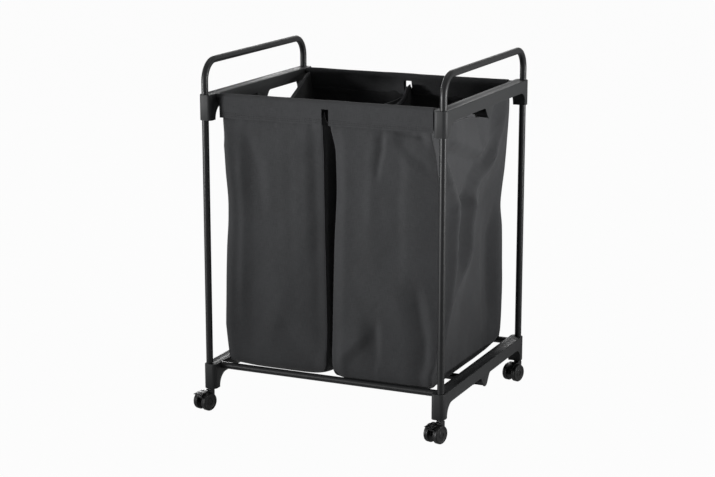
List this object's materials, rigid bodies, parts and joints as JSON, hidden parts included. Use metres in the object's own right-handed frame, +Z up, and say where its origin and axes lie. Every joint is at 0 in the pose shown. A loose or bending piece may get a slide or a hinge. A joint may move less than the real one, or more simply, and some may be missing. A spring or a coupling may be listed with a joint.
{
  "type": "laundry hamper",
  "caption": "Wheeled laundry hamper with two hanging cloth bags on a tube frame with end brackets, handles and swivel casters.",
  "frame": {"origin": "middle of the whole outline, casters included, on the floor", "axes": "+X to the right along the front, +Y from front to back, +Z up"},
  "size_m": [0.593, 0.5394, 0.7805],
  "materials": {
    "bracket_plastic": "fine moulded texture, dark grey",
    "painted_tube": "satin black powder coat",
    "bag_cloth": "dark charcoal woven polyester",
    "bare_steel": "zinc plated",
    "caster_plastic": "black nylon, slight gloss"
  },
  "bodies": {
    "frame": {"upper_bracket_left": "bracket_plastic", "lower_bracket_left": "bracket_plastic", "handle_left": "painted_tube", "bag_left": "bag_cloth", "upper_bracket_right": "bracket_plastic", "lower_bracket_right": "bracket_plastic", "handle_right": "painted_tube", "bag_right": "bag_cloth", "post_front_left": "painted_tube", "caster_plug_front_left": "caster_plastic", "caster_stem_front_left": "bare_steel", "post_front_right": "painted_tube", "caster_plug_front_right": "caster_plastic", "caster_stem_front_right": "bare_steel", "post_rear_left": "painted_tube", "caster_plug_rear_left": "caster_plastic", "caster_stem_rear_left": "bare_steel", "post_rear_right": "painted_tube", "caster_plug_rear_right": "caster_plastic", "caster_stem_rear_right": "bare_steel", "upper_rod_front": "painted_tube", "lower_rod_front": "painted_tube", "hem_sleeve_front": "bag_cloth", "upper_rod_rear": "painted_tube", "lower_rod_rear": "painted_tube", "hem_sleeve_rear": "bag_cloth", "lower_rod_middle": "painted_tube"},
    "caster_front_left": {"caster_hood_front_left": "caster_plastic", "caster_axle_front_left": "bare_steel", "brake_pin_front_left": "bare_steel"},
    "wheel_left_front_left": {"wheel_left_front_left": "caster_plastic"},
    "wheel_right_front_left": {"wheel_right_front_left": "caster_plastic"},
    "brake_front_left": {"brake_lever_front_left": "caster_plastic"},
    "caster_front_right": {"caster_hood_front_right": "caster_plastic", "caster_axle_front_right": "bare_steel", "brake_pin_front_right": "bare_steel"},
    "wheel_left_front_right": {"wheel_left_front_right": "caster_plastic"},
    "wheel_right_front_right": {"wheel_right_front_right": "caster_plastic"},
    "brake_front_right": {"brake_lever_front_right": "caster_plastic"},
    "caster_rear_left": {"caster_hood_rear_left": "caster_plastic", "caster_axle_rear_left": "bare_steel"},
    "wheel_left_rear_left": {"wheel_left_rear_left": "caster_plastic"},
    "wheel_right_rear_left": {"wheel_right_rear_left": "caster_plastic"},
    "caster_rear_right": {"caster_hood_rear_right": "caster_plastic", "caster_axle_rear_right": "bare_steel"},
    "wheel_left_rear_right": {"wheel_left_rear_right": "caster_plastic"},
    "wheel_right_rear_right": {"wheel_right_rear_right": "caster_plastic"}
  },
  "joints": [
    {"name": "swivel_front_left", "type": "hinge", "parent": "frame", "child": "caster_front_left", "pos_m": [-0.27035, -0.22559, 0.044], "axis": [0, 0, 1], "continuous": true},
    {"name": "spin_left_front_left", "type": "hinge", "parent": "caster_front_left", "child": "wheel_left_front_left", "pos_m": [-0.27475, -0.24201, 0.02], "axis": [0.9659, -0.2588, 0], "continuous": true},
    {"name": "spin_right_front_left", "type": "hinge", "parent": "caster_front_left", "child": "wheel_right_front_left", "pos_m": [-0.27475, -0.24201, 0.02], "axis": [0.9659, -0.2588, 0], "continuous": true},
    {"name": "brake_front_left", "type": "hinge", "parent": "caster_front_left", "child": "brake_front_left", "pos_m": [-0.27397, -0.23911, 0.0384], "axis": [0.9659, -0.2588, 0], "range_deg": [0, 8]},
    {"name": "swivel_front_right", "type": "hinge", "parent": "frame", "child": "caster_front_right", "pos_m": [0.27915, -0.22559, 0.044], "axis": [0, 0, 1], "continuous": true},
    {"name": "spin_left_front_right", "type": "hinge", "parent": "caster_front_right", "child": "wheel_left_front_right", "pos_m": [0.27475, -0.24201, 0.02], "axis": [0.9659, -0.2588, 0], "continuous": true},
    {"name": "spin_right_front_right", "type": "hinge", "parent": "caster_front_right", "child": "wheel_right_front_right", "pos_m": [0.27475, -0.24201, 0.02], "axis": [0.9659, -0.2588, 0], "continuous": true},
    {"name": "brake_front_right", "type": "hinge", "parent": "caster_front_right", "child": "brake_front_right", "pos_m": [0.27553, -0.23911, 0.0384], "axis": [0.9659, -0.2588, 0], "range_deg": [0, 8]},
    {"name": "swivel_rear_left", "type": "hinge", "parent": "frame", "child": "caster_rear_left", "pos_m": [-0.27035, 0.25911, 0.044], "axis": [0, 0, 1], "continuous": true},
    {"name": "spin_left_rear_left", "type": "hinge", "parent": "caster_rear_left", "child": "wheel_left_rear_left", "pos_m": [-0.27475, 0.24269, 0.02], "axis": [0.9659, -0.2588, 0], "continuous": true},
    {"name": "spin_right_rear_left", "type": "hinge", "parent": "caster_rear_left", "child": "wheel_right_rear_left", "pos_m": [-0.27475, 0.24269, 0.02], "axis": [0.9659, -0.2588, 0], "continuous": true},
    {"name": "swivel_rear_right", "type": "hinge", "parent": "frame", "child": "caster_rear_right", "pos_m": [0.27915, 0.25911, 0.044], "axis": [0, 0, 1], "continuous": true},
    {"name": "spin_left_rear_right", "type": "hinge", "parent": "caster_rear_right", "child": "wheel_left_rear_right", "pos_m": [0.27475, 0.24269, 0.02], "axis": [0.9659, -0.2588, 0], "continuous": true},
    {"name": "spin_right_rear_right", "type": "hinge", "parent": "caster_rear_right", "child": "wheel_right_rear_right", "pos_m": [0.27475, 0.24269, 0.02], "axis": [0.9659, -0.2588, 0], "continuous": true}
  ]
}
